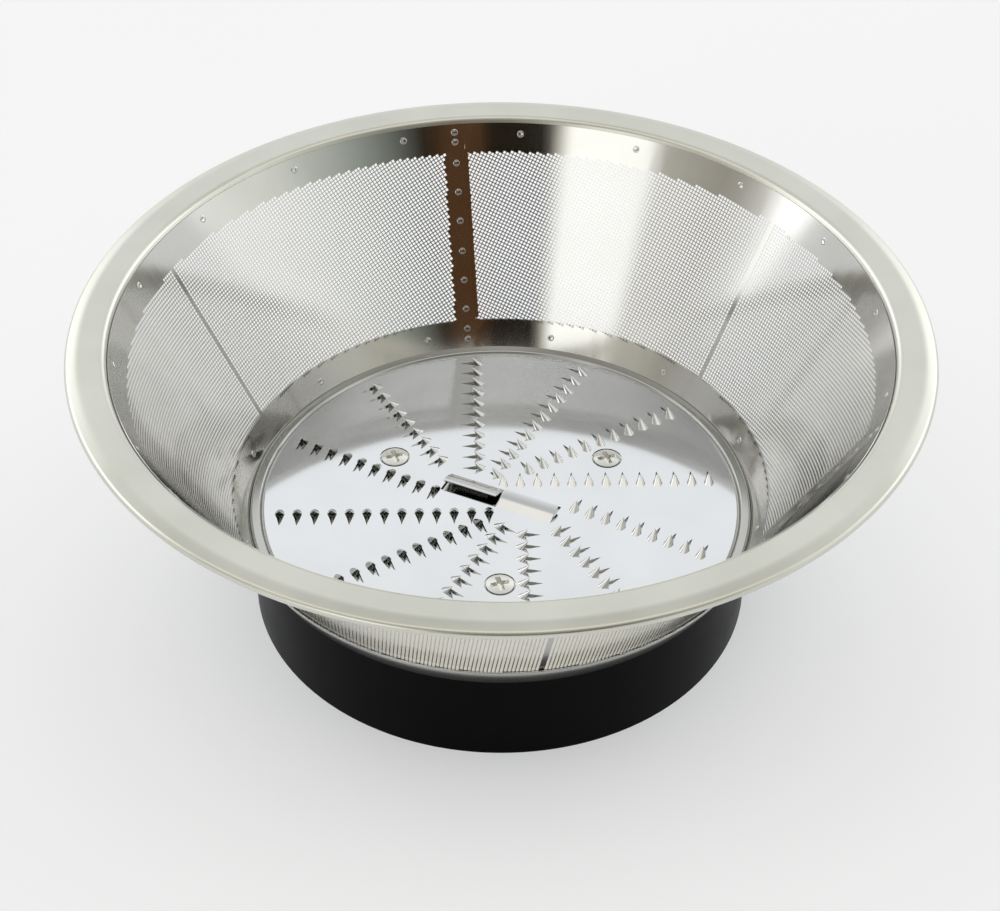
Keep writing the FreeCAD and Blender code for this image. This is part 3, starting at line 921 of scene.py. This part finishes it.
def lap_tongue(middle_azimuth):
    """Plain strip at a panel's far end that lies behind the next panel."""
    near, far = end_line(1, -LAP_HALF_WIDTH - LAP_STEP), end_line(1, LAP_HALF_WIDTH)
    rows = np.linspace(*LAP_SPAN, LAP_ROWS)
    flat = [tuple(side[0] + (side[1] - side[0]) * row) for row in rows for side in (near, far)]
    faces = [(2 * k, 2 * k + 1, 2 * k + 3, 2 * k + 2) for k in range(len(rows) - 1)]
    edge = [2 * k for k in range(len(rows))]
    loop = edge + [v + 1 for v in reversed(edge)]
    walls = [(loop[k], loop[k - 1]) for k in range(len(loop))]
    start = MESH_SHEET + SHEET_GAP
    inner = blank_to_cone(flat, middle_azimuth, start)
    outer = blank_to_cone(flat, middle_azimuth, start + MESH_SHEET)
    return closed_sheet(inner, outer, faces, walls)


def mesh_pieces(material):
    """The three micro-perforated panels."""
    flat, faces, walls = panel_sheet()
    for node, middle in PANELS.items():
        inner = blank_to_cone(flat, middle, 0.0)
        outer = blank_to_cone(flat, middle, ETCHED_SHEET)
        points, solid = closed_sheet(inner, outer, faces, walls)
        tongue_points, tongue = lap_tongue(middle)
        solid += [tuple(v + len(points) for v in face) for face in tongue]
        points = np.vstack([points, tongue_points])
        add_piece(node.replace("panel", "wall"), points, solid, material, node)


def scene_camera():
    """The camera that took the photograph."""
    camera = bpy.data.objects.new("camera", bpy.data.cameras.new("camera"))
    camera.location = CAMERA_PLACE
    camera.rotation_euler = [math.radians(angle) for angle in CAMERA_TURN]
    camera.data.lens = CAMERA_LENS
    camera.data.sensor_width = CAMERA_SENSOR
    camera.data.clip_start = CAMERA_NEAR
    bpy.context.scene.collection.objects.link(camera)
    bpy.context.scene.camera = camera


def scene_floor():
    """Pale floor, whitened for the rays that see it."""
    material, nodes, shader, place = start_material("pale_floor")
    cloud = nodes.noise(place, FLOOR_CLOUD_SCALE)
    nodes.feed(shader, {"Base Color": nodes.ramp(cloud, FLOOR_COLOURS), "Roughness": FLOOR_ROUGHNESS})
    share = nodes.math("MULTIPLY", nodes.seen(), FLOOR_GLOW)
    glow = nodes.add("ShaderNodeEmission", {"Color": GLOW_COLOUR}).outputs["Emission"]
    mixed = nodes.add("ShaderNodeMixShader", {"Fac": share, 1: shader.outputs["BSDF"], 2: glow})
    nodes.feed(nodes.tree.nodes["Material Output"], {"Surface": mixed.outputs["Shader"]})
    corners = [(x * FLOOR_HALF, y * FLOOR_HALF, 0) for x, y in ((-1, -1), (1, -1), (1, 1), (-1, 1))]
    mesh = bpy.data.meshes.new("floor")
    mesh.from_pydata(corners, [], [(0, 1, 2, 3)])
    mesh.materials.append(material)
    floor = bpy.data.objects.new("floor", mesh)
    bpy.context.scene.collection.objects.link(floor)


def scene_light():
    """Soft studio light from the world: a bright ceiling over a band of pale and dark walls."""
    world = bpy.data.worlds.new("studio")
    bpy.context.scene.world = world
    world.use_nodes = True
    nodes = NodeTree(world.node_tree)
    direction = nodes.add("ShaderNodeTexCoord").outputs["Generated"]
    parts = nodes.add("ShaderNodeSeparateXYZ", {"Vector": direction}).outputs
    azimuth = nodes.math("ARCTAN2", parts["Y"], parts["X"])
    walls = nodes.stops(
        nodes.share(azimuth, -math.pi, math.pi),
        [((angle + 180) / 360, colour) for angle, colour in STUDIO_WALLS])
    over = nodes.math("ARCTAN2", parts["Z"], nodes.math("MULTIPLY", parts["Y"], -1.0))
    ceiling = nodes.stops(
        nodes.share(over, 0.0, math.pi), [(angle / 180, colour) for angle, colour in STUDIO_CEILING])
    height = nodes.share(parts["Z"], *WALL_TOP, "SMOOTHSTEP")
    mixed = nodes.add("ShaderNodeMix", data_type="RGBA")
    nodes.feed(mixed, {0: height, 6: walls, 7: ceiling})
    studio = nodes.tree.nodes["Background"]
    nodes.feed(studio, {"Color": mixed.outputs[2]})
    backdrop = nodes.add("ShaderNodeBackground", {"Color": BACKDROP})
    low = nodes.share(parts["Z"], *reversed(BACKDROP_TOP), "SMOOTHSTEP")
    shown = nodes.add("ShaderNodeMixShader", {
        "Fac": nodes.math("MULTIPLY", low, nodes.seen()),
        1: studio.outputs["Background"],
        2: backdrop.outputs["Background"],
    })
    nodes.feed(nodes.tree.nodes["World Output"], {"Surface": shown.outputs["Shader"]})
    bpy.context.scene.view_settings.view_transform = "Standard"


rim_steel = steel(
    "rim_steel", (0.60, 0.60, 0.54), (0.66, 0.66, 0.60), roughness=(0.26, 0.36),
    grain="round", grain_scale=2500.0, grain_depth=0.35)
pan_steel = steel(
    "pan_steel", (0.46, 0.46, 0.435), (0.515, 0.515, 0.49), roughness=(0.12, 0.18),
    grain="round", grain_scale=2500.0, grain_depth=0.1)
mesh_steel = steel(
    "mesh_steel", (0.56, 0.555, 0.53), (0.615, 0.61, 0.585), roughness=(0.08, 0.13),
    grain="up", grain_scale=40.0, grain_depth=0.03)
disc_steel = steel(
    "disc_steel", (0.66, 0.67, 0.68), (0.70, 0.71, 0.72), roughness=(0.05, 0.09),
    grain="none", grain_scale=90.0, grain_depth=0.05)
screw_steel = steel(
    "screw_steel", (0.76, 0.76, 0.72), (0.82, 0.82, 0.78), roughness=(0.14, 0.22),
    grain="none", grain_scale=900.0, grain_depth=0.15)
scene_camera()
scene_floor()
scene_light()
rim_piece(rim_steel)
pan_piece(pan_steel)
mesh_pieces(mesh_steel)
weld_piece(mesh_steel)
disc_piece(disc_steel)
screw_pieces(screw_steel)
plastic = black_plastic()
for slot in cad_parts["drive_base"].material_slots:
    slot.material = plastic
